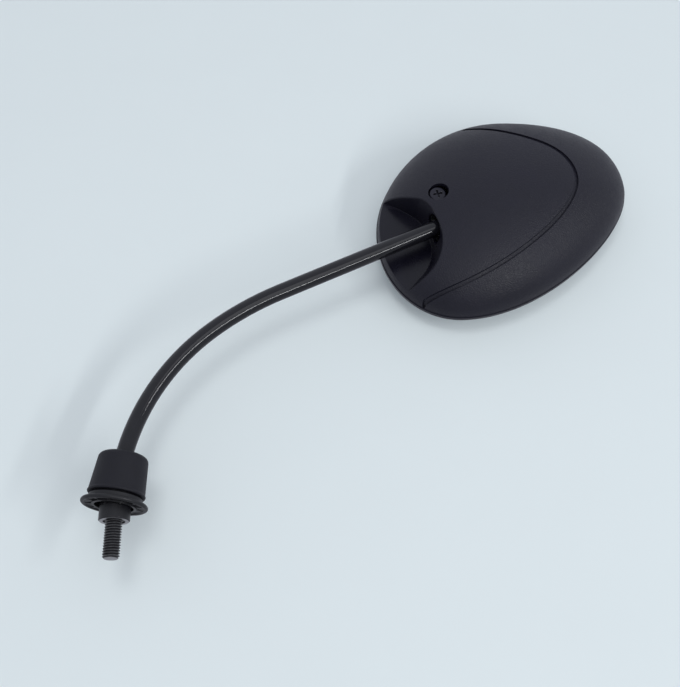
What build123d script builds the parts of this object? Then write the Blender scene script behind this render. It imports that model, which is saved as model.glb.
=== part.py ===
# Scooter mirror: a bent stem with a threaded foot, a rubber boot and a ball-jointed egg-shaped head.
# Millimetres. Origin on the stud's axis where the lock nut seats, +Z up along the stud.
# The head's back faces -Y and its glass faces +Y.
import os
from math import atan2, cos, degrees, radians, sin

from build123d import *

os.makedirs("parts", exist_ok=True)

# Stem
stem_diameter = 8.5
stud_diameter = 8.0
stud_length = 17.4
stud_tip_chamfer = 0.9
shank_diameter = 7.2
foot_length = 11.0
low_bend_radius = 114.0
low_bend_angle = 50.4
high_bend_radius = 156.0
high_bend_angle = 15.3
reach_length = 105.0
spigot_diameter = 7.0
spigot_length = 9.5

# Lock nut
nut_skirt_diameter = 14.6
nut_skirt_height = 6.8
nut_hex_flats = 13.0
nut_hex_height = 4.0
nut_edge_chamfer = 0.5
nut_relief_diameter = 10.4
nut_relief_depth = 0.5
thread_clearance = 0.04

# Rubber boot and its base ring, along the boot's own axis
boot_lean = 6.5
boot_shift = 0.5
boot_top_height = 8.2
boot_top_radius = 11.8
boot_shoulder_radius = 2.6
boot_bottom_radius = 13.4
boot_lip_radius = 13.8
boot_lip_height = 1.6
boot_lip_round = 0.45
boot_skirt_depth = 11.6
boot_cavity_radius = 10.7
boot_cavity_top = 3.0
boot_grip_clearance = 0.3
ring_bead_radius = 12.8
ring_bead_height = 2.3
ring_parting_gap = 0.5
ring_flange_radius = 15.8
ring_lip_thickness = 2.1
ring_plate_thickness = 1.5
ring_flange_fall = 0.5
ring_bead_round = 0.6
ring_rib_recess = 0.5
ring_hub_radius = 9.3
ring_hub_wall = 1.3
ring_spigot_height = 4.0
ring_rib_count = 12
ring_rib_thickness = 1.1

# Ball joint
ball_diameter = 15.0
liner_wall = 1.5
ball_clearance = 0.05
liner_split_gap = 0.6
liner_slot_width = 13.4
liner_slot_height = 9.3
socket_wall = 3.5

# Head outline, measured from the ball's centre
face_drop = 19.0
head_left = 42.3
head_left_height = 1.6
head_top = 75.4
head_top_offset = 33.0
head_right = 101.5
head_right_height = 28.5
head_bottom = 51.6
head_bottom_offset = 2.0
left_top_pull = 0.455
top_left_pull = 0.584
top_right_pull = 0.475
right_top_pull = 0.78
right_bottom_pull = 0.33
bottom_right_pull = 0.471
bottom_left_pull = 0.545
left_bottom_pull = 0.594

# Back shell
head_depth = 33.0
crown_offset = 26.0
crown_height = 10.0
crown_steps = (0, 12, 24, 36, 48, 60, 71, 81)
shell_wall = 2.4

# Bezel, glass and pad
bezel_band_height = 1.9
bezel_proud = 0.45
bezel_lip_width = 5.2
bezel_tongue_height = 4.9
bezel_tongue_wall = 1.2
bezel_fit = 0.1
glass_radius = 1400.0
glass_thickness = 2.0
glass_apex_drop = 0.5
glass_edge_gap = 0.08
pad_thickness = 0.8
pad_margin = 3.0

# Scoop that the stem passes through, with its plan at the floor and at the crown's height
scoop_floor_height = 7.5
scoop_skin = 1.9
scoop_crest_radius = 0.8
scoop_floor = ((-50.0, 22.5), (-35.0, 18.2), (-20.5, 8.7), (-16.9, 4.2), (-14.8, -1.0), (-13.0, -14.5),
               (-20.4, -29.6), (-50.0, -65.0))
scoop_brim = ((-50.0, 22.5), (-35.0, 17.7), (-18.7, 11.3), (-13.5, 4.6), (-11.6, -1.0), (-7.9, -14.1),
              (-10.7, -36.6), (-50.0, -84.0))
window_width = 16.4
window_height = 15.0
window_reach = 24.0

# Styling groove
groove_width = 2.3
groove_depth = 1.1
groove_pit_radius = 1.3
groove_points = ((9.5, 64.4), (28.0, 57.6), (45.0, 49.4), (61.0, 37.4), (67.0, 21.0), (60.2, 3.3),
                 (40.6, -17.4), (13.5, -35.0), (-18.5, -44.5))

# Clamp
screw_offset = (-9.6, 12.4)
screw_pocket_radius = 5.5
screw_pocket_shift = (0.2, 0.2)
screw_seat_height = 22.6
screw_diameter = 5.0
screw_head_diameter = 9.2
screw_head_height = 3.1
screw_head_dome = 0.9
screw_boss_wall = 2.5
screw_bore_clearance = 0.3
cross_slot_width = 1.2
cross_slot_length = 5.2
cross_slot_depth = 1.7
cross_slot_turn = 12.0
washer_diameter = 9.2
washer_thickness = 0.8
plate_height = 11.4
plate_thickness = 2.0
plate_ball_land = 9.0
plate_screw_land = 6.0
plate_end_land = 5.0
plate_room = 1.0
clamp_gap = 0.8
nut_flats = 8.0
square_nut_height = 4.0
screw_tail = 1.2
tapping_screw_distance = 19.0
tapping_screw_spread = 32.0
tapping_screw_diameter = 3.5
tapping_screw_length = 11.0
tapping_head_diameter = 6.6
tapping_head_height = 2.2
tapping_boss_diameter = 8.0
rib_thickness = 1.8
rib_angles = (-48.0, -14.0, 20.0, 54.0, 88.0)
rib_reach = 46.0
rib_lower_height = 9.0

# Shared sizes
ball_radius = ball_diameter / 2
liner_radius = ball_radius + ball_clearance + liner_wall
seat_radius = liner_radius + ball_clearance
stem_radius = stem_diameter / 2
spigot_radius = spigot_diameter / 2

# Centreline of the stem, from the nut's seat up the foot, round both bends and along the reach
with BuildLine(Plane.XZ) as stem_line:
    foot = Line((0, 0), (0, foot_length))
    low_bend = JernArc(start=foot @ 1, tangent=foot % 1, radius=low_bend_radius, arc_size=-low_bend_angle)
    high_bend = JernArc(start=low_bend @ 1, tangent=low_bend % 1, radius=high_bend_radius,
                        arc_size=-high_bend_angle)
    reach = PolarLine(start=high_bend @ 1, length=reach_length - spigot_length, direction=high_bend % 1)

stem_direction = stem_line.line % 1
ball_centre = stem_line.line @ 1 + stem_direction * spigot_length
rod_line = Wire(stem_line.edges().sort_by(Axis.Z)[1:])
head_plane = Plane(origin=(ball_centre.X, face_drop, ball_centre.Z), x_dir=(1, 0, 0), z_dir=(0, -1, 0))


def across_stem(distance):
    """Plane square to the reach, this far from the ball's centre towards the foot."""
    return Plane(origin=ball_centre - stem_direction * distance, x_dir=(0, -1, 0), z_dir=-stem_direction)


def level(height):
    """Plane parallel to the bezel's face, this far behind it."""
    return head_plane.offset(height)


def egg(height, inset=0.0, scale=1.0):
    """Egg-shaped face at a height, drawn in from the head's outline and scaled about the crown."""
    crown = Vector(crown_offset, crown_height)
    left = crown + (Vector(inset - head_left, head_left_height) - crown) * scale
    top = crown + (Vector(head_top_offset, head_top - inset) - crown) * scale
    right = crown + (Vector(head_right - inset, head_right_height) - crown) * scale
    bottom = crown + (Vector(head_bottom_offset, inset - head_bottom) - crown) * scale
    up = Vector(0, 1)
    along = Vector(1, 0)
    with BuildSketch(level(height)) as face:
        with BuildLine():
            Bezier(left, left + up * left_top_pull * (top.Y - left.Y),
                   top - along * top_left_pull * (top.X - left.X), top)
            Bezier(top, top + along * top_right_pull * (right.X - top.X),
                   right + up * right_top_pull * (top.Y - right.Y), right)
            Bezier(right, right - up * right_bottom_pull * (right.Y - bottom.Y),
                   bottom + along * bottom_right_pull * (right.X - bottom.X), bottom)
            Bezier(bottom, bottom - along * bottom_left_pull * (bottom.X - left.X),
                   left - up * left_bottom_pull * (left.Y - bottom.Y), left)
        make_face()
    return face.sketch.face()


def dome(inset):
    """Crowned body behind the bezel: eggs that shrink to the apex along an elliptical profile."""
    rise = head_depth - inset - bezel_band_height
    rings = [egg(bezel_band_height + rise * sin(radians(step)), inset, cos(radians(step)))
             for step in crown_steps]
    apex = Vertex(level(head_depth - inset).from_local_coords((crown_offset, crown_height, 0)))
    with BuildPart() as body:
        loft(sections=rings + [apex])
    return body.part


def egg_block(height, inset, thickness):
    """Straight-sided egg-shaped block behind a height."""
    with BuildPart() as block:
        extrude(egg(height, inset), amount=thickness)
    return block.part


def glass_ball(radius):
    """Ball whose surface is one of the curved faces of the glass or of the pad behind it."""
    centre = level(glass_apex_drop + glass_radius).from_local_coords((crown_offset, crown_height, 0))
    with BuildPart() as ball:
        with Locations(centre):
            Sphere(radius)
    return ball.part


def rod(radius):
    """Round bar along the stem's bends and reach."""
    with BuildPart() as bar:
        with BuildSketch(Plane.XY.offset(foot_length)):
            Circle(radius)
        sweep(path=rod_line)
    return bar.part


# Stem, one rod with a stud at its foot, a shank inside the lock nut and a spigot for the ball
with BuildPart() as stem:
    add(rod(stem_radius))
    with BuildSketch(Plane.XY.offset(-stud_length)):
        Circle(stud_diameter / 2)
    extrude(amount=stud_length)
    chamfer(stem.faces().sort_by(Axis.Z)[0].edges(), stud_tip_chamfer)
    with BuildSketch():
        Circle(shank_diameter / 2)
    extrude(amount=foot_length)
    with BuildSketch(across_stem(spigot_length)):
        Circle(spigot_radius)
    extrude(amount=-spigot_length)

# Ball pressed on the spigot
with BuildPart() as stem_ball:
    with Locations(ball_centre):
        Sphere(ball_radius)
    with BuildSketch(across_stem(0)):
        Circle(spigot_radius)
    extrude(amount=ball_diameter, mode=Mode.SUBTRACT)

# Lock nut: a round skirt that seats on the bracket and a hexagon above it
with BuildPart() as lock_nut:
    with BuildSketch():
        Circle(nut_skirt_diameter / 2)
    extrude(amount=nut_skirt_height)
    chamfer(lock_nut.faces().sort_by(Axis.Z)[0].edges(), nut_edge_chamfer)
    with BuildSketch(Plane.XY.offset(nut_skirt_height)):
        RegularPolygon(nut_hex_flats / 2, 6, major_radius=False)
    extrude(amount=nut_hex_height)
    with BuildSketch():
        Circle(shank_diameter / 2 + thread_clearance)
    extrude(amount=nut_skirt_height + nut_hex_height, mode=Mode.SUBTRACT)
    with BuildSketch():
        Circle(nut_relief_diameter / 2)
    extrude(amount=nut_relief_depth, mode=Mode.SUBTRACT)

# The boot and its base ring follow the low bend, so their axis is the bend's tangent there,
# pushed a little off the stem by the ring's loose fit
boot_centre = low_bend @ (boot_lean / low_bend_angle) + Vector(boot_shift, 0, 0)
boot_axis = Axis(boot_centre, low_bend % (boot_lean / low_bend_angle))
boot_side = Plane(origin=boot_centre, x_dir=boot_axis.direction.cross(Vector(0, -1, 0)), z_dir=(0, -1, 0))
ring_top = -boot_skirt_depth - ring_parting_gap
flange_top = ring_top - ring_bead_height
flange_middle = flange_top - ring_flange_fall - ring_lip_thickness / 2

# Rubber boot, a slightly tapered cap with a rolled lip, gripping the stem at its top
with BuildPart() as dust_boot:
    with BuildSketch(boot_side):
        with BuildLine():
            Polyline((0, boot_top_height), (boot_top_radius, boot_top_height),
                     (boot_bottom_radius, boot_lip_height - boot_skirt_depth),
                     (boot_lip_radius, boot_lip_height / 2 - boot_skirt_depth),
                     (boot_bottom_radius, -boot_skirt_depth), (0, -boot_skirt_depth), (0, boot_top_height))
        make_face()
    revolve(axis=boot_axis)
    fillet(dust_boot.faces().sort_by(boot_axis)[-1].edges(), boot_shoulder_radius)
    fillet(dust_boot.edges().filter_by(GeomType.CIRCLE).sort_by(boot_axis)[:3], boot_lip_round)
    with BuildSketch(boot_side):
        with BuildLine():
            Polyline((0, boot_cavity_top), (boot_cavity_radius - boot_cavity_top / 2, boot_cavity_top),
                     (boot_cavity_radius, 0), (boot_cavity_radius, -boot_skirt_depth),
                     (0, -boot_skirt_depth), (0, boot_cavity_top))
        make_face()
    revolve(axis=boot_axis, mode=Mode.SUBTRACT)
    add(rod(stem_radius + boot_grip_clearance), mode=Mode.SUBTRACT)

# Base ring: a spigot inside the boot, a bead under its lip and a ribbed, hollow flange
plate_edge = ring_flange_radius - ring_lip_thickness / 2
plate_under = flange_top - ring_plate_thickness
flange_under = flange_middle - ring_lip_thickness / 2
with BuildPart() as base_ring:
    with BuildSketch(boot_side):
        with BuildLine():
            Polyline((ring_hub_radius, ring_top + ring_spigot_height),
                     (boot_cavity_radius, ring_top + ring_spigot_height), (boot_cavity_radius, ring_top),
                     (ring_bead_radius - ring_bead_round, ring_top),
                     (ring_bead_radius, ring_top - ring_bead_round), (ring_bead_radius, flange_top),
                     (plate_edge, flange_top - ring_flange_fall),
                     (plate_edge, plate_under - ring_flange_fall),
                     (ring_hub_radius + ring_hub_wall, plate_under),
                     (ring_hub_radius + ring_hub_wall, flange_under),
                     (ring_hub_radius, flange_under), (ring_hub_radius, ring_top + ring_spigot_height))
        make_face()
        with Locations((plate_edge, flange_middle)):
            Circle(ring_lip_thickness / 2)
    revolve(axis=boot_axis)
    rib_start = ring_hub_radius + ring_hub_wall / 2
    with BuildSketch(Plane(origin=boot_centre + boot_axis.direction * (flange_under + ring_rib_recess),
                           x_dir=boot_side.x_dir, z_dir=boot_axis.direction)):
        with PolarLocations((rib_start + plate_edge) / 2, ring_rib_count):
            Rectangle(plate_edge - rib_start, ring_rib_thickness)
    extrude(amount=plate_under - flange_under - ring_rib_recess + ring_plate_thickness / 2)

# Ball liner, two moulded half cups with a slot for the stem
with BuildPart() as liner_cup:
    with Locations(ball_centre):
        Sphere(liner_radius)
        Sphere(ball_radius + ball_clearance, mode=Mode.SUBTRACT)
    with BuildSketch(across_stem(0)):
        SlotOverall(liner_slot_width, liner_slot_height, rotation=90)
    extrude(amount=seat_radius, mode=Mode.SUBTRACT)

with BuildPart() as liner_rear:
    add(liner_cup.part)
    with BuildSketch(level(face_drop + liner_split_gap / 2)):
        Circle(seat_radius)
    extrude(amount=seat_radius, mode=Mode.INTERSECT)

with BuildPart() as liner_front:
    add(liner_cup.part)
    with BuildSketch(level(face_drop - liner_split_gap / 2)):
        Circle(seat_radius)
    extrude(amount=-seat_radius, mode=Mode.INTERSECT)

# Places of the clamp screw and of the two tapping screws that hold the clamp plate's far end
screw_place = Vector(*screw_offset)
away = degrees(atan2(-screw_place.Y, -screw_place.X))
tapping_places = [Vector(tapping_screw_distance, 0).rotate(Axis.Z, away + turn * tapping_screw_spread)
                  for turn in (-1, 1)]
plate_back = plate_height + plate_thickness


def scoop_plan(points, height, grow):
    """Plan of the scoop: a fan that opens at the head's left edge and rounds off at the ball."""
    mouth_top, ceiling_middle, corner, shoulder_middle, end_top, end_middle, end_bottom, mouth_bottom = points
    with BuildSketch(level(height)) as plan:
        with BuildLine():
            ThreePointArc(mouth_top, ceiling_middle, corner)
            ThreePointArc(corner, shoulder_middle, end_top)
            ThreePointArc(end_top, end_middle, end_bottom)
            Polyline(end_bottom, mouth_bottom, mouth_top)
        make_face()
        if grow:
            offset(amount=grow)
    return plan.sketch.face()


def scoop(grow=0.0):
    """Room of the scoop above its floor, or the same drawn out by the thickness of its skin."""
    with BuildPart() as room:
        loft(sections=[scoop_plan(scoop_floor, scoop_floor_height - grow, grow),
                       scoop_plan(scoop_brim, head_depth, grow)], ruled=True)
    return room.part


def plate_plan(height, grow=0.0):
    """Outline of the clamp plate: lands for the ball and for each screw, drawn round together."""
    with BuildSketch(level(height)) as plan:
        with Locations((0, 0)):
            Circle(plate_ball_land + grow)
        with Locations(screw_place):
            Circle(plate_screw_land + grow)
        with Locations(tapping_places):
            Circle(plate_end_land + grow)
        make_hull()
    return plan.sketch


# Works inside the shell: scoop skin, ball socket, screw bosses and ribs, cut to fit under the crown
with BuildPart() as inner_works:
    with BuildSketch(level(rib_lower_height)):
        for angle in rib_angles:
            with BuildLine(mode=Mode.PRIVATE) as rib_line:
                PolarLine((0, 0), rib_reach, angle)
            trace(rib_line.line, rib_thickness)
    extrude(amount=head_depth)
    extrude(plate_plan(rib_lower_height, plate_room), amount=plate_back - rib_lower_height,
            mode=Mode.SUBTRACT)
    add(scoop(scoop_skin))
    with BuildSketch(level(face_drop + liner_split_gap / 2)):
        Circle(seat_radius + socket_wall)
    extrude(amount=head_depth)
    with BuildSketch(level(plate_back + clamp_gap)):
        with Locations(screw_place):
            Circle(screw_diameter / 2 + screw_boss_wall)
    extrude(amount=head_depth)
    with BuildSketch(level(plate_back)):
        with Locations(tapping_places):
            Circle(tapping_boss_diameter / 2)
    extrude(amount=head_depth)
    add(dome(shell_wall / 2), mode=Mode.INTERSECT)

with BuildPart() as groove:
    with BuildSketch(level(bezel_band_height)):
        with BuildLine() as groove_line:
            Spline(groove_points)
        trace(groove_line.line, groove_width)
        with Locations(groove_line.line @ 1):
            Circle(groove_pit_radius)
    extrude(amount=head_depth)
    add(dome(0.0), mode=Mode.INTERSECT)
    add(dome(groove_depth), mode=Mode.SUBTRACT)

# Back shell, moulded in one piece with its scoop, socket, bosses, ribs and groove
with BuildPart() as back_shell:
    add(dome(0.0))
    add(dome(shell_wall), mode=Mode.SUBTRACT)
    add(inner_works.part)
    add(scoop(), mode=Mode.SUBTRACT)
    with Locations(ball_centre):
        Sphere(seat_radius, mode=Mode.SUBTRACT)
    with BuildSketch(across_stem(0)):
        SlotOverall(window_width, window_height, rotation=90)
    extrude(amount=window_reach, mode=Mode.SUBTRACT)
    with BuildSketch(level(0)):
        with Locations(screw_place):
            Circle(screw_diameter / 2 + screw_bore_clearance)
    extrude(amount=screw_seat_height, mode=Mode.SUBTRACT)
    with BuildSketch(level(screw_seat_height)):
        with Locations(screw_place + Vector(*screw_pocket_shift)):
            Circle(screw_pocket_radius)
    extrude(amount=head_depth, mode=Mode.SUBTRACT)
    with BuildSketch(level(plate_back)):
        with Locations(tapping_places):
            Circle(tapping_screw_diameter / 2)
    extrude(amount=tapping_screw_length - plate_thickness, mode=Mode.SUBTRACT)
    add(groove.part, mode=Mode.SUBTRACT)
    room = scoop()
    crown = back_shell.faces().sort_by(SortBy.AREA)[-1]
    brim = crown.edges().filter_by(lambda edge: room.distance_to(edge @ 0.5) < 0.01)
    fillet(brim.sort_by(Axis.Y)[:-1], scoop_crest_radius)

# Bezel ring: a proud band, a lip over the glass and a tongue inside the shell's mouth
tongue_inset = shell_wall + bezel_fit
glass_inset = tongue_inset + bezel_tongue_wall + glass_edge_gap
with BuildPart() as bezel_blank:
    add(egg_block(0, -bezel_proud, bezel_band_height))
    add(egg_block(0, tongue_inset, bezel_tongue_height))
    add(egg_block(0, bezel_lip_width, bezel_tongue_height), mode=Mode.SUBTRACT)
with BuildPart() as glass_pocket:
    add(egg_block(0, tongue_inset + bezel_tongue_wall, bezel_tongue_height))
    add(glass_ball(glass_radius), mode=Mode.INTERSECT)
with BuildPart() as glass_bezel:
    add(bezel_blank.part)
    add(glass_pocket.part, mode=Mode.SUBTRACT)

# Convex glass and the foam pad behind it
with BuildPart() as mirror_glass:
    add(egg_block(0, glass_inset, head_depth))
    add(glass_ball(glass_radius), mode=Mode.INTERSECT)
    add(glass_ball(glass_radius - glass_thickness), mode=Mode.SUBTRACT)
with BuildPart() as foam_pad:
    add(egg_block(0, glass_inset + pad_margin, head_depth))
    add(glass_ball(glass_radius - glass_thickness), mode=Mode.INTERSECT)
    add(glass_ball(glass_radius - glass_thickness - pad_thickness), mode=Mode.SUBTRACT)

# Clamp plate, pulled towards the shell at one end by the clamp screw
with BuildPart() as clamp_plate:
    extrude(plate_plan(plate_height), amount=plate_thickness)
    with BuildSketch(level(plate_height)):
        with Locations(screw_place):
            Circle(screw_diameter / 2 + thread_clearance)
        with Locations(tapping_places):
            Circle(tapping_screw_diameter / 2 + thread_clearance)
    extrude(amount=plate_thickness, mode=Mode.SUBTRACT)
    with Locations(ball_centre):
        Sphere(seat_radius, mode=Mode.SUBTRACT)

# Clamp screw with a domed cross-slotted head, its washer and its square nut
head_seat = screw_seat_height + washer_thickness
with BuildPart() as screw_washer:
    with BuildSketch(level(screw_seat_height)):
        with Locations(screw_place):
            Circle(washer_diameter / 2)
            Circle(screw_diameter / 2 + screw_bore_clearance, mode=Mode.SUBTRACT)
    extrude(amount=washer_thickness)
with BuildPart() as clamp_screw:
    with BuildSketch(level(plate_height - square_nut_height - screw_tail)):
        with Locations(screw_place):
            Circle(screw_diameter / 2)
    extrude(amount=head_seat - plate_height + square_nut_height + screw_tail)
    with BuildSketch(level(head_seat)):
        with Locations(screw_place):
            Circle(screw_head_diameter / 2)
    extrude(amount=screw_head_height)
    fillet(clamp_screw.faces().sort_by(Axis.Y)[0].edges(), screw_head_dome)
    with BuildSketch(level(head_seat + screw_head_height)):
        with Locations(screw_place):
            Rectangle(cross_slot_length, cross_slot_width, rotation=cross_slot_turn)
            Rectangle(cross_slot_width, cross_slot_length, rotation=cross_slot_turn)
    extrude(amount=-cross_slot_depth, mode=Mode.SUBTRACT)
with BuildPart() as square_nut:
    with BuildSketch(level(plate_height - square_nut_height)):
        with Locations(screw_place):
            Rectangle(nut_flats, nut_flats, rotation=cross_slot_turn)
            Circle(screw_diameter / 2 + thread_clearance, mode=Mode.SUBTRACT)
    extrude(amount=square_nut_height)

# Two tapping screws through the plate's far end into the shell's bosses
with BuildPart() as tapping_screws:
    with BuildSketch(level(plate_height)):
        with Locations(tapping_places):
            Circle(tapping_head_diameter / 2)
    extrude(amount=-tapping_head_height)
    fillet(tapping_screws.faces().filter_by(Plane.XZ).group_by(Axis.Y)[-1].edges(), tapping_head_height / 3)
    with BuildSketch(level(plate_height)):
        with Locations(tapping_places):
            Circle(tapping_screw_diameter / 2)
    extrude(amount=tapping_screw_length)

parts = {
    "stem": stem,
    "stem_ball": stem_ball,
    "lock_nut": lock_nut,
    "dust_boot": dust_boot,
    "base_ring": base_ring,
    "liner_rear": liner_rear,
    "liner_front": liner_front,
    "back_shell": back_shell,
    "glass_bezel": glass_bezel,
    "mirror_glass": mirror_glass,
    "foam_pad": foam_pad,
    "clamp_plate": clamp_plate,
    "clamp_screw": clamp_screw,
    "screw_washer": screw_washer,
    "square_nut": square_nut,
    "tapping_screws": tapping_screws,
}
for name, piece in parts.items():
    piece.part.label = name
    export_step(piece.part, f"parts/{name}.step")
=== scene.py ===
"""Scooter mirror: finishes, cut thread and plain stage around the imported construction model."""

from math import pi, radians

import bmesh
import bpy
from mathutils import Matrix, Vector


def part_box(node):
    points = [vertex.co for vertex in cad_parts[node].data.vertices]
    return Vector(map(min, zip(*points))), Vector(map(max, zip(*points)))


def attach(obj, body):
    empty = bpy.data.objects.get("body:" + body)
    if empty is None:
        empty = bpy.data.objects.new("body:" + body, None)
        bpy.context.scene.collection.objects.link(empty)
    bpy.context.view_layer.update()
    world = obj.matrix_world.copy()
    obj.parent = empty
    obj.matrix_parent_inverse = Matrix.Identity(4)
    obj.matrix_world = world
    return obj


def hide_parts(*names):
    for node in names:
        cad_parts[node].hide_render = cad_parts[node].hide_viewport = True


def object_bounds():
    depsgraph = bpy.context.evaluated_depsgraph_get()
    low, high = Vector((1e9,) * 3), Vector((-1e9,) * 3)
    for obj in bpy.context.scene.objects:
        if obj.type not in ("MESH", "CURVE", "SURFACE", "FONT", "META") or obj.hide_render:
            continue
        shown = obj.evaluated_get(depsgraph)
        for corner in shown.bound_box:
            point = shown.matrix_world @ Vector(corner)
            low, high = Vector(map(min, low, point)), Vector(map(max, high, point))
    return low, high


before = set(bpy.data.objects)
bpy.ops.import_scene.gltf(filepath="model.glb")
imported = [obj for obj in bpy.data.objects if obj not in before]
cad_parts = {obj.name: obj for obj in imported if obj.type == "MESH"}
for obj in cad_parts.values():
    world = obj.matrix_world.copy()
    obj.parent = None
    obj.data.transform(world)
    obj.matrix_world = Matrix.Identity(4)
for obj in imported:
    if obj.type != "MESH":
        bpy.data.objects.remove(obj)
cad_low, cad_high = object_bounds()

bl_info = {
    "name": "Scooter Mirror",
    "version": (1, 0, 0),
    "blender": (4, 5, 0),
    "location": "3D View > Sidebar > Mirror",
    "description": "Finishes a scooter mirror's pieces and sets it on a plain stage",
    "category": "Object",
}


# Sizes and colours that a user would change


class StemSettings(bpy.types.PropertyGroup):
    """Bent stem and its threaded stud."""

    coat_colour: bpy.props.FloatVectorProperty(
        name="Coat Colour", description="Gloss coat on the stem", subtype="COLOR", size=3,
        min=0.0, max=1.0, default=(0.006, 0.006, 0.008))
    coat_roughness: bpy.props.FloatProperty(
        name="Coat Roughness", description="Sharpness of the stem's reflections", min=0.0, max=1.0,
        default=0.08, subtype="FACTOR")
    thread_pitch: bpy.props.FloatProperty(
        name="Thread Pitch", description="Height of one turn of the stud's thread", min=0.0005,
        default=0.00125, unit="LENGTH", precision=5)
    thread_radius: bpy.props.FloatProperty(
        name="Thread Radius", description="Radius over the thread's crests", min=0.001, default=0.004,
        unit="LENGTH", precision=5)
    thread_depth: bpy.props.FloatProperty(
        name="Thread Depth", description="Depth from the thread's crests to its roots", min=0.0001,
        default=0.00072, unit="LENGTH", precision=5)
    thread_top: bpy.props.FloatProperty(
        name="Thread Top", description="Height where the thread runs out, inside the lock nut",
        default=0.0003, unit="LENGTH", precision=5)
    tip_chamfer: bpy.props.FloatProperty(
        name="Tip Chamfer", description="Lead-in at the stud's tip", min=0.0, default=0.0009,
        unit="LENGTH", precision=5)
    steel_colour: bpy.props.FloatVectorProperty(
        name="Bare Steel", description="Steel where the blacking is off", subtype="COLOR", size=3,
        min=0.0, max=1.0, default=(0.42, 0.42, 0.43))


class FootSettings(bpy.types.PropertyGroup):
    """Lock nut, rubber boot and base ring."""

    rubber_colour: bpy.props.FloatVectorProperty(
        name="Rubber Colour", description="Colour of the boot", subtype="COLOR", size=3,
        min=0.0, max=1.0, default=(0.007, 0.007, 0.0105))
    ring_colour: bpy.props.FloatVectorProperty(
        name="Ring Colour", description="Colour of the moulded ring under the boot", subtype="COLOR",
        size=3, min=0.0, max=1.0, default=(0.006, 0.006, 0.008))
    nut_colour: bpy.props.FloatVectorProperty(
        name="Nut Colour", description="Colour of the blackened lock nut", subtype="COLOR", size=3,
        min=0.0, max=1.0, default=(0.006, 0.006, 0.008))


class HeadSettings(bpy.types.PropertyGroup):
    """Moulded shell, bezel, glass and the clamp inside."""

    shell_colour: bpy.props.FloatVectorProperty(
        name="Shell Colour", description="Colour of the moulded shell", subtype="COLOR", size=3,
        min=0.0, max=1.0, default=(0.0062, 0.0058, 0.0125))
    grain_cells: bpy.props.FloatProperty(
        name="Grain Cells", description="Cells of the moulded grain along one metre", min=100.0,
        default=850.0)
    glass_tint: bpy.props.FloatVectorProperty(
        name="Glass Tint", description="Colour of the silvered glass", subtype="COLOR", size=3,
        min=0.0, max=1.0, default=(0.86, 0.9, 0.92))
    zinc_colour: bpy.props.FloatVectorProperty(
        name="Zinc Colour", description="Plating of the clamp's hidden steel pieces", subtype="COLOR",
        size=3, min=0.0, max=1.0, default=(0.55, 0.56, 0.55))


class StageSettings(bpy.types.PropertyGroup):
    """Backdrop, lights and camera."""

    backdrop_colour: bpy.props.FloatVectorProperty(
        name="Backdrop Colour", description="Pale surface behind the mirror", subtype="COLOR", size=3,
        min=0.0, max=1.0, default=(0.77, 0.829, 0.822))
    backdrop_gap: bpy.props.FloatProperty(
        name="Backdrop Gap", description="Distance from the bezel's face to the backdrop", min=0.0,
        default=0.012, unit="LENGTH")
    world_colour: bpy.props.FloatVectorProperty(
        name="Room Colour", description="Soft light of the whole room", subtype="COLOR", size=3,
        min=0.0, max=1.0, default=(0.86, 0.90, 1.0))
    world_strength: bpy.props.FloatProperty(
        name="Room Strength", description="Brightness of the room", min=0.0, default=0.74)
    lens: bpy.props.FloatProperty(
        name="Focal Length", description="Camera lens over its 36 mm wide sensor", min=1.0,
        default=47.16, unit="CAMERA")
    camera_place: bpy.props.FloatVectorProperty(
        name="Camera Place", description="Where the camera stands", subtype="TRANSLATION", size=3,
        default=(0.10301, -0.41345, -0.11153), precision=5)


# Shader nodes


def feed(tree, socket, source):
    """Link a socket to an output, or give it a fixed value."""
    if isinstance(source, bpy.types.NodeSocket):
        tree.links.new(source, socket)
    else:
        socket.default_value = source


def add_node(tree, kind, inputs=None, **settings):
    """Add a node with its settings and feed its inputs."""
    node = tree.nodes.new(kind)
    for name, value in settings.items():
        setattr(node, name, value)
    for name, source in (inputs or {}).items():
        feed(tree, node.inputs[name], source)
    return node


def spread(tree, value, low, high, to_low=0.0, to_high=1.0):
    """Map a value from one range to another, clamped."""
    node = add_node(tree, "ShaderNodeMapRange", {
        "Value": value, "From Min": low, "From Max": high, "To Min": to_low, "To Max": to_high})
    return node.outputs["Result"]


def blend_colour(tree, mask, first, second):
    """Mix two colours by a mask."""
    node = add_node(tree, "ShaderNodeMix", data_type="RGBA")
    factor, colour_a, colour_b, colour_result = 0, 6, 7, 2
    feed(tree, node.inputs[factor], mask)
    feed(tree, node.inputs[colour_a], first)
    feed(tree, node.inputs[colour_b], second)
    return node.outputs[colour_result]


def calculate(tree, operation, first, second=0.0):
    """One step of arithmetic on values."""
    node = tree.nodes.new("ShaderNodeMath")
    node.operation = operation
    feed(tree, node.inputs[0], first)
    feed(tree, node.inputs[1], second)
    return node.outputs["Value"]


def new_group(name, inputs, outputs):
    """Start a shader node group with named sockets."""
    group = bpy.data.node_groups.new(name, "ShaderNodeTree")
    for label, kind, value in inputs:
        socket = group.interface.new_socket(name=label, in_out="INPUT", socket_type=kind)
        if value is not None:
            socket.default_value = value
    for label, kind in outputs:
        group.interface.new_socket(name=label, in_out="OUTPUT", socket_type=kind)
    return group, group.nodes.new("NodeGroupInput"), group.nodes.new("NodeGroupOutput")


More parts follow.
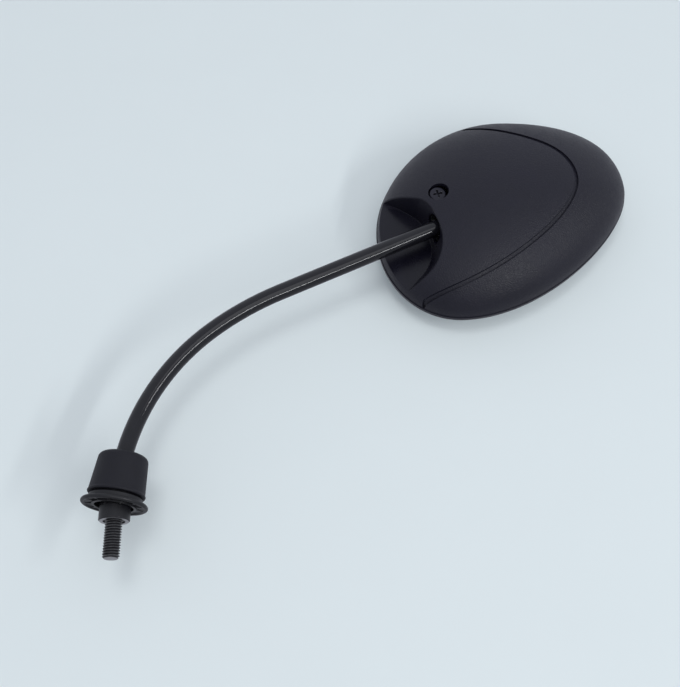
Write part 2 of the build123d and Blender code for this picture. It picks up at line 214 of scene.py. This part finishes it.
def moulded_grain():
    """Leather-like grain of a textured mould: rounded cells with valleys between them."""
    group, entry, result = new_group(
        "Moulded Grain",
        [("Vector", "NodeSocketVector", None), ("Cells", "NodeSocketFloat", 1000.0)],
        [("Height", "NodeSocketFloat")])
    bend = add_node(group, "ShaderNodeTexNoise", {"Vector": entry.outputs["Vector"], "Detail": 2.0})
    feed(group, bend.inputs["Scale"], calculate(group, "MULTIPLY", entry.outputs["Cells"], 0.45))
    shift = add_node(group, "ShaderNodeVectorMath", {0: bend.outputs["Color"]}, operation="SCALE")
    feed(group, shift.inputs["Scale"], calculate(group, "DIVIDE", 1.1, entry.outputs["Cells"]))
    moved = add_node(group, "ShaderNodeVectorMath",
                     {0: entry.outputs["Vector"], 1: shift.outputs["Vector"]}, operation="ADD")
    cells = add_node(group, "ShaderNodeTexVoronoi",
                     {"Vector": moved.outputs["Vector"], "Scale": entry.outputs["Cells"]},
                     feature="DISTANCE_TO_EDGE")
    pebble = spread(group, cells.outputs["Distance"], 0.0, 0.32)
    fine = add_node(group, "ShaderNodeTexNoise", {"Vector": entry.outputs["Vector"], "Detail": 3.0})
    feed(group, fine.inputs["Scale"], calculate(group, "MULTIPLY", entry.outputs["Cells"], 1.9))
    height = calculate(group, "ADD", calculate(group, "MULTIPLY", pebble, 0.75),
                       calculate(group, "MULTIPLY", fine.outputs["Fac"], 0.35))
    feed(group, result.inputs["Height"], height)
    return group


def surface_drift():
    """Slow change of gloss and tone over a surface, with faint finger marks."""
    group, entry, result = new_group(
        "Surface Drift",
        [("Vector", "NodeSocketVector", None), ("Patches", "NodeSocketFloat", 40.0),
         ("Low", "NodeSocketFloat", 0.3), ("High", "NodeSocketFloat", 0.5)],
        [("Value", "NodeSocketFloat"), ("Mask", "NodeSocketFloat")])
    broad = add_node(group, "ShaderNodeTexNoise", {
        "Vector": entry.outputs["Vector"], "Scale": entry.outputs["Patches"], "Detail": 4.0,
        "Roughness": 0.6})
    marks = add_node(group, "ShaderNodeTexNoise", {"Vector": entry.outputs["Vector"], "Detail": 5.0})
    feed(group, marks.inputs["Scale"], calculate(group, "MULTIPLY", entry.outputs["Patches"], 7.0))
    blend = calculate(group, "ADD", calculate(group, "MULTIPLY", broad.outputs["Fac"], 0.65),
                      calculate(group, "MULTIPLY", marks.outputs["Fac"], 0.35))
    mask = spread(group, blend, 0.35, 0.65)
    feed(group, result.inputs["Mask"], mask)
    node = add_node(group, "ShaderNodeMapRange", {
        "Value": mask, "To Min": entry.outputs["Low"], "To Max": entry.outputs["High"]})
    feed(group, result.inputs["Value"], node.outputs["Result"])
    return group


def rounded_edges():
    """Softened normals at sharp edges, and a mask of where they are."""
    group, entry, result = new_group(
        "Rounded Edges",
        [("Radius", "NodeSocketFloat", 0.0003)],
        [("Normal", "NodeSocketVector"), ("Mask", "NodeSocketFloat")])
    soft = add_node(group, "ShaderNodeBevel", {"Radius": entry.outputs["Radius"]}, samples=6)
    flat = add_node(group, "ShaderNodeNewGeometry")
    turn = add_node(group, "ShaderNodeVectorMath",
                    {0: soft.outputs["Normal"], 1: flat.outputs["Normal"]}, operation="DOT_PRODUCT")
    feed(group, result.inputs["Mask"], spread(group, turn.outputs["Value"], 0.98, 0.8))
    feed(group, result.inputs["Normal"], soft.outputs["Normal"])
    return group


def turned_lines():
    """Fine rings that a lathe or a wire brush leaves, along one axis of the piece."""
    group, entry, result = new_group(
        "Turned Lines",
        [("Vector", "NodeSocketVector", None), ("Lines", "NodeSocketFloat", 4000.0)],
        [("Height", "NodeSocketFloat")])
    split = add_node(group, "ShaderNodeSeparateXYZ", {"Vector": entry.outputs["Vector"]})
    squeeze = add_node(group, "ShaderNodeCombineXYZ", {"Z": split.outputs["Z"]})
    radius = add_node(group, "ShaderNodeVectorMath", {0: entry.outputs["Vector"]}, operation="LENGTH")
    feed(group, squeeze.inputs["X"], radius.outputs["Value"])
    lines = add_node(group, "ShaderNodeTexNoise", {
        "Vector": squeeze.outputs["Vector"], "Scale": entry.outputs["Lines"], "Detail": 2.0})
    feed(group, result.inputs["Height"], lines.outputs["Fac"])
    return group


EFFECTS = {}


def effect(tree, name, inputs):
    """Place one of the shared effects in a material."""
    makers = {
        "Moulded Grain": moulded_grain,
        "Surface Drift": surface_drift,
        "Rounded Edges": rounded_edges,
        "Turned Lines": turned_lines,
    }
    if name not in EFFECTS:
        EFFECTS[name] = makers[name]()
    node = add_node(tree, "ShaderNodeGroup", node_tree=EFFECTS[name], label=name)
    for key, source in inputs.items():
        feed(tree, node.inputs[key], source)
    return node.outputs


def new_material(name, **sockets):
    """Material with one Principled shader, its fixed values and its Object coordinates."""
    material = bpy.data.materials.new(name)
    material.use_nodes = True
    tree = material.node_tree
    shader = tree.nodes["Principled BSDF"]
    for label, value in sockets.items():
        shader.inputs[label.replace("_", " ")].default_value = value
    place = tree.nodes.new("ShaderNodeTexCoord").outputs["Object"]
    return material, tree, shader, place


def relief(tree, shader, height, distance, strength=1.0, normal=None):
    """Bump a surface by a height, on top of softened edges if they are given."""
    bump = add_node(tree, "ShaderNodeBump", {
        "Height": height, "Distance": distance, "Strength": strength})
    if normal is not None:
        feed(tree, bump.inputs["Normal"], normal)
    feed(tree, shader.inputs["Normal"], bump.outputs["Normal"])


def rgba(colour, factor=1.0):
    """Colour with full alpha, made lighter or darker by a factor."""
    return (*(min(1.0, part * factor) for part in colour), 1.0)


# Materials of the mirror's pieces


def black_coat(settings):
    """Sprayed gloss coat on the stem, with a faint orange peel."""
    material, tree, shader, place = new_material("Black Gloss Coat", IOR=1.5)
    drift = effect(tree, "Surface Drift", {
        "Vector": place, "Patches": 60.0, "Low": settings.coat_roughness * 0.8,
        "High": settings.coat_roughness * 1.35})
    feed(tree, shader.inputs["Roughness"], drift["Value"])
    feed(tree, shader.inputs["Base Color"], blend_colour(
        tree, drift["Mask"], rgba(settings.coat_colour), rgba(settings.coat_colour, 1.5)))
    peel = add_node(tree, "ShaderNodeTexNoise", {"Vector": place, "Scale": 900.0, "Detail": 2.0})
    relief(tree, shader, peel.outputs["Fac"], 0.00002)
    return material


def black_thread(settings):
    """Blackened thread, rubbed along its crests, with a bare sheared tip."""
    material, tree, shader, place = new_material("Blackened Thread", IOR=1.5)
    split = add_node(tree, "ShaderNodeSeparateXYZ", {"Vector": place})
    flat = add_node(tree, "ShaderNodeCombineXYZ", {"X": split.outputs["X"], "Y": split.outputs["Y"]})
    radius = add_node(tree, "ShaderNodeVectorMath", {0: flat.outputs["Vector"]}, operation="LENGTH")
    flank_radius = settings.thread_radius - settings.thread_depth * 0.45
    crest = spread(tree, radius.outputs["Value"], flank_radius, settings.thread_radius)
    drift = effect(tree, "Surface Drift", {"Vector": place, "Patches": 500.0, "Low": 0.28, "High": 0.5})
    rubbed = calculate(tree, "MULTIPLY", crest, spread(tree, drift["Mask"], 0.0, 1.0, 0.1, 0.4))
    tip_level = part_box("stem")[0].z
    coated_above, bare_below = 0.00035, 0.0001
    tip = spread(tree, split.outputs["Z"], tip_level + coated_above, tip_level + bare_below)
    bare = calculate(tree, "MAXIMUM", rubbed, tip)
    feed(tree, shader.inputs["Base Color"], blend_colour(
        tree, bare, rgba(settings.coat_colour), rgba(settings.steel_colour)))
    feed(tree, shader.inputs["Metallic"], bare)
    feed(tree, shader.inputs["Roughness"], drift["Value"])
    lines = effect(tree, "Turned Lines", {"Vector": place, "Lines": 5000.0})
    relief(tree, shader, lines["Height"], 0.00001)
    return material


def boot_rubber(settings):
    """Soft matt rubber with a powdery bloom and slight mould marks."""
    material, tree, shader, place = new_material("Boot Rubber", IOR=1.5, Specular_IOR_Level=0.34)
    drift = effect(tree, "Surface Drift", {"Vector": place, "Patches": 120.0, "Low": 0.5, "High": 0.66})
    edges = effect(tree, "Rounded Edges", {"Radius": 0.0005})
    feed(tree, shader.inputs["Roughness"], drift["Value"])
    tone = blend_colour(tree, drift["Mask"], rgba(settings.rubber_colour),
                        rgba(settings.rubber_colour, 1.45))
    feed(tree, shader.inputs["Base Color"], tone)
    grain = effect(tree, "Moulded Grain", {"Vector": place, "Cells": 2600.0})
    relief(tree, shader, grain["Height"], 0.00003, 0.7, edges["Normal"])
    return material


def ring_plastic(settings):
    """Smooth black moulding of the base ring, with painted highlights on its sharp edges."""
    material, tree, shader, place = new_material("Black Ring Moulding", IOR=1.5)
    drift = effect(tree, "Surface Drift", {"Vector": place, "Patches": 150.0, "Low": 0.36, "High": 0.52})
    edges = effect(tree, "Rounded Edges", {"Radius": 0.0003})
    feed(tree, shader.inputs["Roughness"], drift["Value"])
    # painted highlight: the colour on the sharp edges is lightened to 1.7 times the ring's
    tone = blend_colour(tree, edges["Mask"], rgba(settings.ring_colour), rgba(settings.ring_colour, 1.7))
    feed(tree, shader.inputs["Base Color"], tone)
    grain = effect(tree, "Moulded Grain", {"Vector": place, "Cells": 3200.0})
    relief(tree, shader, grain["Height"], 0.000015, 0.5, edges["Normal"])
    return material


def nut_finish(settings, steel):
    """Blackened nut whose seating face is bare, turned steel."""
    material, tree, shader, place = new_material("Blackened Nut", IOR=1.5)
    split = add_node(tree, "ShaderNodeSeparateXYZ", {"Vector": place})
    drift = effect(tree, "Surface Drift", {"Vector": place, "Patches": 260.0, "Low": 0.26, "High": 0.44})
    coated_above, bare_below = 0.00012, 0.00004
    seat = spread(tree, split.outputs["Z"], coated_above, bare_below)
    edges = effect(tree, "Rounded Edges", {"Radius": 0.0002})
    worn = calculate(tree, "MULTIPLY", edges["Mask"], spread(tree, drift["Mask"], 0.2, 0.9, 0.0, 0.35))
    bare = calculate(tree, "MAXIMUM", seat, worn)
    feed(tree, shader.inputs["Base Color"], blend_colour(
        tree, bare, rgba(settings.nut_colour), rgba(steel)))
    feed(tree, shader.inputs["Metallic"], bare)
    feed(tree, shader.inputs["Roughness"], drift["Value"])
    lines = effect(tree, "Turned Lines", {"Vector": place, "Lines": 4200.0})
    relief(tree, shader, lines["Height"], 0.000015, 1.0, edges["Normal"])
    return material


def inside_scoop(tree, place):
    """Mask of the smooth scoop that the stem lies in, around the ball's place; it also places the scoop's
    painted shade.
    """
    low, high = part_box("stem_ball")
    ball = (low + high) / 2
    centre_x, centre_z = ball.x - 0.040, ball.z - 0.014
    half_width, rise, drop = 0.0315, 0.0315, 0.0275
    inner_side, open_side = 0.0119, 0.0116
    split = add_node(tree, "ShaderNodeSeparateXYZ", {"Vector": place})
    across = calculate(
        tree, "DIVIDE", calculate(tree, "SUBTRACT", split.outputs["X"], centre_x), half_width)
    height = calculate(tree, "SUBTRACT", split.outputs["Z"], centre_z)
    above = calculate(tree, "DIVIDE", height, rise)
    below = calculate(tree, "DIVIDE", height, -drop)
    reach = add_node(tree, "ShaderNodeCombineXYZ", {
        "X": across, "Y": calculate(tree, "MAXIMUM", above, below)})
    distance = add_node(tree, "ShaderNodeVectorMath", {0: reach.outputs["Vector"]}, operation="LENGTH")
    return calculate(tree, "MULTIPLY", spread(tree, distance.outputs["Value"], 1.0, 0.95),
                     spread(tree, split.outputs["Y"], inner_side, open_side))


def shell_plastic(settings):
    """Black plastic moulded with a leather-like grain, left smooth inside the scoop, with painted
    highlights on its sharp edges and painted shade inside the scoop.
    """
    material, tree, shader, place = new_material("Grained Shell", IOR=1.5, Specular_IOR_Level=0.4)
    scoop = inside_scoop(tree, place)
    scoop_roughness, scoop_grain = 0.62, 0.05
    drift = effect(tree, "Surface Drift", {"Vector": place, "Patches": 26.0, "Low": 0.38, "High": 0.5})
    edges = effect(tree, "Rounded Edges", {"Radius": 0.0003})
    feed(tree, shader.inputs["Roughness"], calculate(
        tree, "MULTIPLY", drift["Value"], spread(tree, scoop, 0.0, 1.0, 1.0, scoop_roughness)))
    tone = blend_colour(tree, drift["Mask"], rgba(settings.shell_colour), rgba(settings.shell_colour, 1.3))
    # painted highlight: the colour on the sharp edges is lightened to 1.8 times the shell's
    tone = blend_colour(tree, edges["Mask"], tone, rgba(settings.shell_colour, 1.8))
    # painted shade: inside the scoop the colour is darkened to 0.9 times the shell's
    feed(tree, shader.inputs["Base Color"], blend_colour(
        tree, scoop, tone, rgba(settings.shell_colour, 0.9)))
    grain = effect(tree, "Moulded Grain", {"Vector": place, "Cells": settings.grain_cells})
    height = calculate(
        tree, "MULTIPLY", grain["Height"], spread(tree, scoop, 0.0, 1.0, 1.0, scoop_grain))
    relief(tree, shader, height, 0.00011, 1.0, edges["Normal"])
    return material


def bezel_plastic(settings):
    """Satin black moulding of the rim around the glass, with painted highlights on its sharp edges."""
    material, tree, shader, place = new_material("Satin Bezel", IOR=1.5)
    drift = effect(tree, "Surface Drift", {"Vector": place, "Patches": 60.0, "Low": 0.3, "High": 0.42})
    edges = effect(tree, "Rounded Edges", {"Radius": 0.0004})
    feed(tree, shader.inputs["Roughness"], drift["Value"])
    # painted highlight: the colour on the sharp edges is lightened to 2 times the shell's, against 1.1
    # times elsewhere
    feed(tree, shader.inputs["Base Color"], blend_colour(
        tree, edges["Mask"], rgba(settings.shell_colour, 1.1), rgba(settings.shell_colour, 2.0)))
    fine = add_node(tree, "ShaderNodeTexNoise", {"Vector": place, "Scale": 2400.0, "Detail": 3.0})
    relief(tree, shader, fine.outputs["Fac"], 0.00001, 1.0, edges["Normal"])
    return material


def silvered_glass(settings):
    """Polished convex glass, silvered behind, with the lightest film of dust."""
    material, tree, shader, place = new_material("Silvered Glass", Metallic=1.0, IOR=1.5)
    drift = effect(tree, "Surface Drift", {"Vector": place, "Patches": 22.0, "Low": 0.012, "High": 0.035})
    feed(tree, shader.inputs["Roughness"], drift["Value"])
    feed(tree, shader.inputs["Base Color"], blend_colour(
        tree, drift["Mask"], rgba(settings.glass_tint), rgba(settings.glass_tint, 0.97)))
    return material


def plated_steel(name, colour, low, high, lines):
    """Turned or pressed steel with a thin bright plating."""
    material, tree, shader, place = new_material(name, Metallic=1.0)
    drift = effect(tree, "Surface Drift", {"Vector": place, "Patches": 220.0, "Low": low, "High": high})
    feed(tree, shader.inputs["Roughness"], drift["Value"])
    feed(tree, shader.inputs["Base Color"], blend_colour(
        tree, drift["Mask"], rgba(colour, 0.85), rgba(colour)))
    marks = effect(tree, "Turned Lines", {"Vector": place, "Lines": lines})
    relief(tree, shader, marks["Height"], 0.00001)
    return material


def black_screw(settings):
    """Blackened screw and washer, a little brighter on the driven edges."""
    material, tree, shader, place = new_material("Blackened Screw", IOR=1.6)
    drift = effect(tree, "Surface Drift", {"Vector": place, "Patches": 400.0, "Low": 0.3, "High": 0.48})
    edges = effect(tree, "Rounded Edges", {"Radius": 0.00018})
    bare = calculate(tree, "MULTIPLY", edges["Mask"], 0.22)
    feed(tree, shader.inputs["Roughness"], drift["Value"])
    feed(tree, shader.inputs["Metallic"], spread(tree, bare, 0.0, 1.0, 0.25, 1.0))
    feed(tree, shader.inputs["Base Color"], blend_colour(
        tree, bare, rgba(settings.shell_colour, 1.4), rgba(settings.zinc_colour)))
    lines = effect(tree, "Turned Lines", {"Vector": place, "Lines": 3800.0})
    relief(tree, shader, lines["Height"], 0.00001, 1.0, edges["Normal"])
    return material


def liner_plastic():
    """Slippery off-white plastic of the ball's liner."""
    material, tree, shader, place = new_material(
        "Ball Liner", IOR=1.48, Subsurface_Weight=0.2, Subsurface_Scale=0.001)
    drift = effect(tree, "Surface Drift", {"Vector": place, "Patches": 200.0, "Low": 0.3, "High": 0.45})
    feed(tree, shader.inputs["Roughness"], drift["Value"])
    feed(tree, shader.inputs["Base Color"], blend_colour(
        tree, drift["Mask"], (0.70, 0.68, 0.62, 1.0), (0.76, 0.75, 0.70, 1.0)))
    return material


def foam_sheet():
    """Open-celled foam behind the glass."""
    material, tree, shader, place = new_material("Foam Sheet", Roughness=0.95)
    cells = add_node(tree, "ShaderNodeTexVoronoi", {"Vector": place, "Scale": 1400.0})
    feed(tree, shader.inputs["Base Color"], blend_colour(
        tree, spread(tree, cells.outputs["Distance"], 0.1, 0.6), (0.05, 0.05, 0.052, 1.0),
        (0.11, 0.11, 0.115, 1.0)))
    relief(tree, shader, cells.outputs["Distance"], 0.0003)
    return material


# Pieces


def dress(node, material):
    """Give a construction node its finish."""
    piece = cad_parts[node]
    for slot in piece.material_slots:
        slot.link = "OBJECT"
        slot.material = material


def new_object(name, mesh, material):
    """Make an object of a bmesh, with one material."""
    data = bpy.data.meshes.new(name)
    mesh.to_mesh(data)
    mesh.free()
    data.materials.append(material)
    made = bpy.data.objects.new(name, data)
    bpy.context.scene.collection.objects.link(made)
    return made


def add_piece(name, mesh, material, body, slot, *nodes):
    """Make a finished piece of a bmesh, moving with a body and standing for construction nodes."""
    piece = new_object(name, mesh, material)
    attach(piece, body)
    if nodes:
        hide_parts(*nodes)


def cut_level(mesh, level, side):
    """Cut away what lies above a level, for side 1, or below it, for side -1."""
    bmesh.ops.bisect_plane(
        mesh, geom=mesh.verts[:] + mesh.edges[:] + mesh.faces[:], dist=1e-7,
        plane_co=(0, 0, level), plane_no=(0, 0, side), clear_outer=True)


def close_ends(mesh):
    """Fill the open ends that cuts leave."""
    bmesh.ops.holes_fill(mesh, edges=[edge for edge in mesh.edges if edge.is_boundary], sides=0)


def smooth_up_to(mesh, degrees):
    """Shade faces smooth across edges that bend less than an angle."""
    for face in mesh.faces:
        face.smooth = True
    for edge in mesh.edges:
        edge.smooth = edge.calc_face_angle(0.0) < radians(degrees)


class MIRROR_OT_stem(bpy.types.Operator):
    """Coat the bent stem and cut the thread on its stud"""

    bl_idname = "mirror.stem"
    bl_label = "Stem"

    def execute(self, context):
        settings = context.scene.mirror_stem
        self.coat_stem(settings)
        self.cut_thread(settings)
        return {"FINISHED"}

    def coat_stem(self, settings):
        """Keep the stem above the thread as a smooth, coated rod."""
        mesh = bmesh.new()
        mesh.from_mesh(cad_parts["stem"].data)
        bmesh.ops.remove_doubles(mesh, verts=mesh.verts, dist=1e-6)
        cut_level(mesh, settings.thread_top, -1)
        close_ends(mesh)
        smooth_up_to(mesh, 30)
        add_piece("stem_coated", mesh, black_coat(settings), "stem", "black_stem", "stem")

    def cut_thread(self, settings):
        """Wind one turn's profile up the stud, square off its ends and bring in the tip's lead."""
        crest = settings.thread_radius
        root = crest - settings.thread_depth
        flank = root + settings.thread_depth / 2
        pitch = settings.thread_pitch
        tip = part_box("stem")[0].z
        turns = round((settings.thread_top - tip) / pitch) + 3
        steps = 40
        profile = [(root, 0.0), (root, 0.2), (flank, 0.375), (crest, 0.55), (crest, 0.65),
                   (flank, 0.825), (root, 1.0)]
        mesh = bmesh.new()
        verts = [mesh.verts.new((radius, 0.0, tip + (share - 1.5) * pitch)) for radius, share in profile]
        edges = [mesh.edges.new(pair) for pair in zip(verts, verts[1:])]
        bmesh.ops.spin(
            mesh, geom=verts + edges, cent=(0, 0, 0), axis=(0, 0, 1), dvec=(0, 0, pitch / steps),
            angle=2 * pi * turns, steps=steps * turns, use_merge=False)
        bmesh.ops.remove_doubles(mesh, verts=mesh.verts, dist=2e-6)
        cut_level(mesh, tip, -1)
        cut_level(mesh, settings.thread_top, 1)
        close_ends(mesh)
        for vert in mesh.verts:
            reach = crest - settings.tip_chamfer + (vert.co.z - tip)
            radius = vert.co.xy.length
            if radius > reach > 0:
                vert.co.xy *= reach / radius
        bmesh.ops.recalc_face_normals(mesh, faces=mesh.faces)
        smooth_up_to(mesh, 25)
        add_piece("stud_thread", mesh, black_thread(settings), "stem", "black_stem")


class MIRROR_OT_foot(bpy.types.Operator):
    """Finish the lock nut, the rubber boot and the ring under it"""

    bl_idname = "mirror.foot"
    bl_label = "Nut, Boot and Ring"

    def execute(self, context):
        settings = context.scene.mirror_foot
        dress("lock_nut", nut_finish(settings, context.scene.mirror_stem.steel_colour))
        dress("dust_boot", boot_rubber(settings))
        dress("base_ring", ring_plastic(settings))
        return {"FINISHED"}


class MIRROR_OT_ball_joint(bpy.types.Operator):
    """Finish the ball and its liner"""

    bl_idname = "mirror.ball_joint"
    bl_label = "Ball Joint"

    def execute(self, context):
        steel = Vector(context.scene.mirror_stem.steel_colour)
        # painted shade: the ball's steel colour is halved so that it reads dark in the window it shows
        # through
        dress("stem_ball", plated_steel("Ground Ball", steel * 0.5, 0.16, 0.26, 2600.0))
        liner = liner_plastic()
        dress("liner_rear", liner)
        dress("liner_front", liner)
        return {"FINISHED"}


class MIRROR_OT_head(bpy.types.Operator):
    """Finish the shell, the bezel, the glass and the foam behind it"""

    bl_idname = "mirror.head"
    bl_label = "Head"

    def execute(self, context):
        settings = context.scene.mirror_head
        dress("back_shell", shell_plastic(settings))
        dress("glass_bezel", bezel_plastic(settings))
        dress("mirror_glass", silvered_glass(settings))
        dress("foam_pad", foam_sheet())
        return {"FINISHED"}


class MIRROR_OT_clamp(bpy.types.Operator):
    """Finish the clamp plate and its screws"""

    bl_idname = "mirror.clamp"
    bl_label = "Clamp"

    def execute(self, context):
        settings = context.scene.mirror_head
        blackened = black_screw(settings)
        dress("clamp_screw", blackened)
        dress("screw_washer", blackened)
        zinc = plated_steel("Zinc Plate", settings.zinc_colour, 0.28, 0.45, 1500.0)
        for node in ("clamp_plate", "square_nut", "tapping_screws"):
            dress(node, zinc)
        return {"FINISHED"}


class MIRROR_OT_stage(bpy.types.Operator):
    """Set up the pale backdrop, the soft lights and the camera"""

    bl_idname = "mirror.stage"
    bl_label = "Stage"

    def execute(self, context):
        settings = context.scene.mirror_stage
        self.lay_backdrop(settings)
        self.light_room(context.scene, settings)
        self.hang_lights()
        self.stand_camera(context.scene, settings)
        return {"FINISHED"}

    def lay_backdrop(self, settings):
        """Pale sheet behind the mirror, seen from its front only."""
        material, tree, shader, place = new_material("Pale Backdrop", Specular_IOR_Level=0.2)
        drift = effect(tree, "Surface Drift", {"Vector": place, "Patches": 5.0, "Low": 0.6, "High": 0.7})
        feed(tree, shader.inputs["Roughness"], drift["Value"])
        feed(tree, shader.inputs["Base Color"], blend_colour(
            tree, drift["Mask"], rgba(settings.backdrop_colour), rgba(settings.backdrop_colour, 1.012)))
        clear = tree.nodes.new("ShaderNodeBsdfTransparent")
        sides = add_node(tree, "ShaderNodeMixShader")
        feed(tree, sides.inputs[0], add_node(tree, "ShaderNodeNewGeometry").outputs["Backfacing"])
        feed(tree, sides.inputs[1], shader.outputs["BSDF"])
        feed(tree, sides.inputs[2], clear.outputs["BSDF"])
        feed(tree, tree.nodes["Material Output"].inputs["Surface"], sides.outputs["Shader"])
        half_width = 6.0
        centre = Vector((0.1, cad_high.y + settings.backdrop_gap, 0.1))
        upright = Matrix.Rotation(radians(90), 4, "X")
        mesh = bmesh.new()
        bmesh.ops.create_grid(mesh, x_segments=4, y_segments=4, size=half_width,
                              matrix=Matrix.Translation(centre) @ upright)
        backdrop = new_object("backdrop", mesh, material)
        backdrop.visible_glossy = False

    def light_room(self, scene, settings):
        """Soft light from all round, brighter from above."""
        world = bpy.data.worlds.new("Pale Room")
        world.use_nodes = True
        tree = world.node_tree
        sky = tree.nodes["Background"]
        direction = tree.nodes.new("ShaderNodeTexCoord").outputs["Generated"]
        split = add_node(tree, "ShaderNodeSeparateXYZ", {"Vector": direction})
        height = spread(tree, split.outputs["Z"], -1.0, 1.0)
        feed(tree, sky.inputs["Color"], blend_colour(
            tree, height, rgba(settings.world_colour, 0.55), rgba(settings.world_colour)))
        sky.inputs["Strength"].default_value = settings.world_strength
        scene.world = world

    def hang_lights(self):
        """Two soft boxes that shape the shadows and a long strip that shines along the stem."""
        target = Vector((0.12, 0.0, 0.11))
        for name, direction, along, distance, size, power in (
                ("left_box", (-0.09, -0.99, 0.10), (1.0, 0.0, 0.0), 1.6, (0.5, 0.5), 3.6),
                ("broad_box", (0.14, -0.93, -0.34), (1.0, 0.0, 0.0), 1.6, (1.3, 1.3), 4.2),
                ("long_strip", (0.66, -0.58, -0.46), (0.47, -0.16, 0.87), 2.4, (2.0, 0.12), 16.0)):
            data = bpy.data.lights.new(name, "AREA")
            data.shape = "RECTANGLE"
            data.size, data.size_y = size
            data.energy = power
            data.color = (0.96, 0.98, 1.0)
            light = bpy.data.objects.new(name, data)
            away = Vector(direction).normalized()
            width = away.cross(Vector(along)).normalized()
            turn = Matrix((width.cross(away), width, away)).transposed()
            light.matrix_world = Matrix.LocRotScale(target + away * distance, turn, None)
            light.visible_glossy = name != "left_box"
            bpy.context.scene.collection.objects.link(light)

    def stand_camera(self, scene, settings):
        """Camera at the photograph's place, looking up the stem."""
        data = bpy.data.cameras.new("camera")
        data.lens = settings.lens
        data.clip_start, data.clip_end = 0.01, 20.0
        camera = bpy.data.objects.new("camera", data)
        look = Vector((0.0094, 0.8988, 0.4383)).normalized()
        up = Vector((0.0193, -0.4384, 0.8986))
        side = look.cross(up).normalized()
        up = side.cross(look)
        turn = Matrix((side, up, -look)).transposed()
        camera.matrix_world = Matrix.LocRotScale(Vector(settings.camera_place), turn, None)
        scene.collection.objects.link(camera)
        scene.camera = camera
        scene.view_settings.view_transform = "Standard"


class MIRROR_PT_panel(bpy.types.Panel):
    """Lists the mirror's settings and the operators that build it."""

    bl_idname = "MIRROR_PT_panel"
    bl_label = "Scooter Mirror"
    bl_space_type = "VIEW_3D"
    bl_region_type = "UI"
    bl_category = "Mirror"

    def draw(self, context):
        layout = self.layout
        scene = context.scene
        for settings in (scene.mirror_stem, scene.mirror_foot, scene.mirror_head, scene.mirror_stage):
            box = layout.box()
            for name in settings.bl_rna.properties.keys():
                if name not in ("rna_type", "name"):
                    box.prop(settings, name)
        for operator in OPERATORS:
            layout.operator(operator.bl_idname)


SETTINGS = {
    "mirror_stem": StemSettings,
    "mirror_foot": FootSettings,
    "mirror_head": HeadSettings,
    "mirror_stage": StageSettings,
}
OPERATORS = (MIRROR_OT_stem, MIRROR_OT_foot, MIRROR_OT_ball_joint, MIRROR_OT_head, MIRROR_OT_clamp,
             MIRROR_OT_stage)


def register():
    for name, group in SETTINGS.items():
        bpy.utils.register_class(group)
        setattr(bpy.types.Scene, name, bpy.props.PointerProperty(type=group))
    for operator in OPERATORS:
        bpy.utils.register_class(operator)
    bpy.utils.register_class(MIRROR_PT_panel)


def unregister():
    bpy.utils.unregister_class(MIRROR_PT_panel)
    for operator in reversed(OPERATORS):
        bpy.utils.unregister_class(operator)
    for name, group in SETTINGS.items():
        delattr(bpy.types.Scene, name)
        bpy.utils.unregister_class(group)


def clear_start_scene():
    """Remove what a new file holds besides the frame."""
    for name in ("Cube", "Light", "Camera"):
        if name in bpy.data.objects:
            bpy.data.objects.remove(bpy.data.objects[name])


def main():
    register()
    clear_start_scene()
    bpy.ops.mirror.stem()
    bpy.ops.mirror.foot()
    bpy.ops.mirror.ball_joint()
    bpy.ops.mirror.head()
    bpy.ops.mirror.clamp()
    bpy.ops.mirror.stage()
    bpy.context.view_layer.update()


if __name__ == "__main__":
    main()
